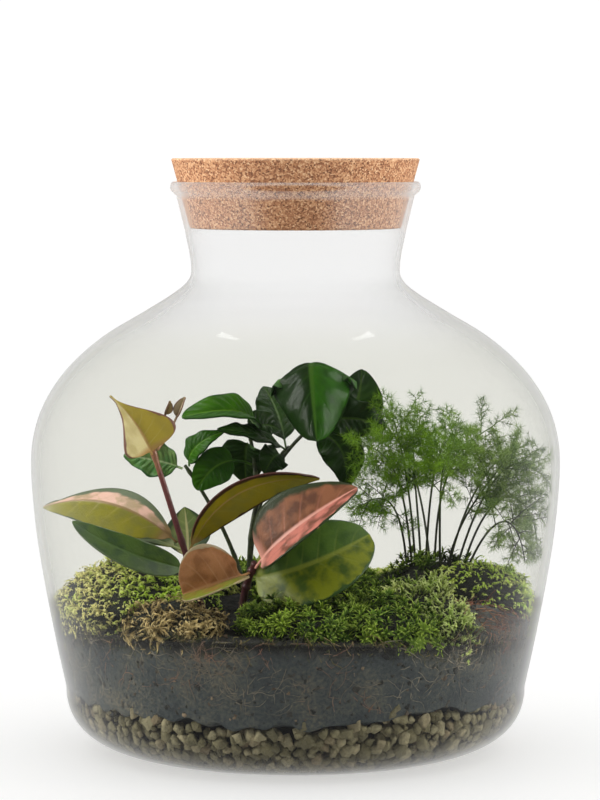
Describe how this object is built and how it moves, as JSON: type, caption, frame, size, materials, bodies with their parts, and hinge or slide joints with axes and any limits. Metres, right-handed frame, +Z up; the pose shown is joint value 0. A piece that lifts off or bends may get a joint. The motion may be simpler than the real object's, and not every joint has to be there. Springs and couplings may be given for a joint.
{
  "type": "glass plant terrarium",
  "caption": "Closed round-shouldered glass jar with a cork stopper, layered with gravel, soil and moss and planted with a broad-leaved plant, a dark-leaved shrub and a feathery fern.",
  "frame": {"origin": "centre of the jar's foot, on the surface it stands on", "axes": "+Z up along the jar's axis, -Y towards the viewer in the picture, +X to the viewer's right"},
  "size_m": [0.2506, 0.2506, 0.2795],
  "materials": {
    "glass": "clear blown glass, polished",
    "cork": "pressed cork granules, matt",
    "gravel": "washed gravel, matt",
    "soil": "damp peat and bark potting soil, matt",
    "moss_green": "living sheet moss, soft and matt",
    "moss_pale": "pale tufted moss, soft and matt",
    "moss_dried": "dried tan moss and rootlets, matt",
    "red_stem": "smooth dark red plant stem, satin",
    "peperomia_leaf": "thick waxy leaf, satin",
    "pink_leaf": "thick waxy leaf flushed pink, satin",
    "coffee_stem": "thin green-brown stem, matt",
    "coffee_leaf": "glossy dark green leaf, waved",
    "fern": "fine soft needles on thin stalks, matt"
  },
  "bodies": {
    "root": {"glass_jar": "glass", "cork_stopper": "cork", "gravel_layer": "gravel", "soil_bed": "soil", "moss_mound_left": "moss_green", "moss_back_left": "moss_green", "moss_bank_front": "moss_green", "moss_bright_tuft": "moss_green", "moss_mound_right": "moss_green", "moss_fern_bed": "moss_green", "moss_back_right": "moss_green", "moss_back": "moss_green", "moss_middle": "moss_green", "moss_pale_tuft": "moss_pale", "moss_dried_tuft": "moss_dried", "root_mat_right": "moss_dried", "peperomia_stem_tall": "red_stem", "peperomia_stem_short": "red_stem", "peperomia_leaf_top": "peperomia_leaf", "peperomia_leaf_upper_left": "peperomia_leaf", "peperomia_leaf_lower_left": "peperomia_leaf", "peperomia_leaf_round_back": "peperomia_leaf", "peperomia_leaf_back_left": "peperomia_leaf", "peperomia_leaf_olive_arch": "peperomia_leaf", "peperomia_leaf_broad_right": "peperomia_leaf", "peperomia_leaf_cupped": "pink_leaf", "peperomia_leaf_pink": "pink_leaf", "coffee_stems": "coffee_stem", "coffee_leaf_crown_left": "coffee_leaf", "coffee_leaf_low_left": "coffee_leaf", "coffee_leaf_far_left": "coffee_leaf", "coffee_leaf_round": "coffee_leaf", "coffee_leaf_narrow": "coffee_leaf", "coffee_leaf_small_crown": "coffee_leaf", "coffee_leaf_drooping": "coffee_leaf", "coffee_leaf_upright": "coffee_leaf", "coffee_leaf_right": "coffee_leaf", "coffee_leaf_hanging_right": "coffee_leaf", "coffee_leaf_hanging_left": "coffee_leaf", "coffee_leaf_hanging_middle": "coffee_leaf", "coffee_leaf_back": "coffee_leaf", "coffee_leaf_back_right": "coffee_leaf", "asparagus_frond_01": "fern", "asparagus_frond_02": "fern", "asparagus_frond_03": "fern", "asparagus_frond_04": "fern", "asparagus_frond_05": "fern", "asparagus_frond_06": "fern", "asparagus_frond_07": "fern", "asparagus_frond_08": "fern", "asparagus_frond_09": "fern", "asparagus_frond_10": "fern", "asparagus_frond_11": "fern", "asparagus_frond_12": "fern", "asparagus_frond_13": "fern"}
  },
  "joints": []
}
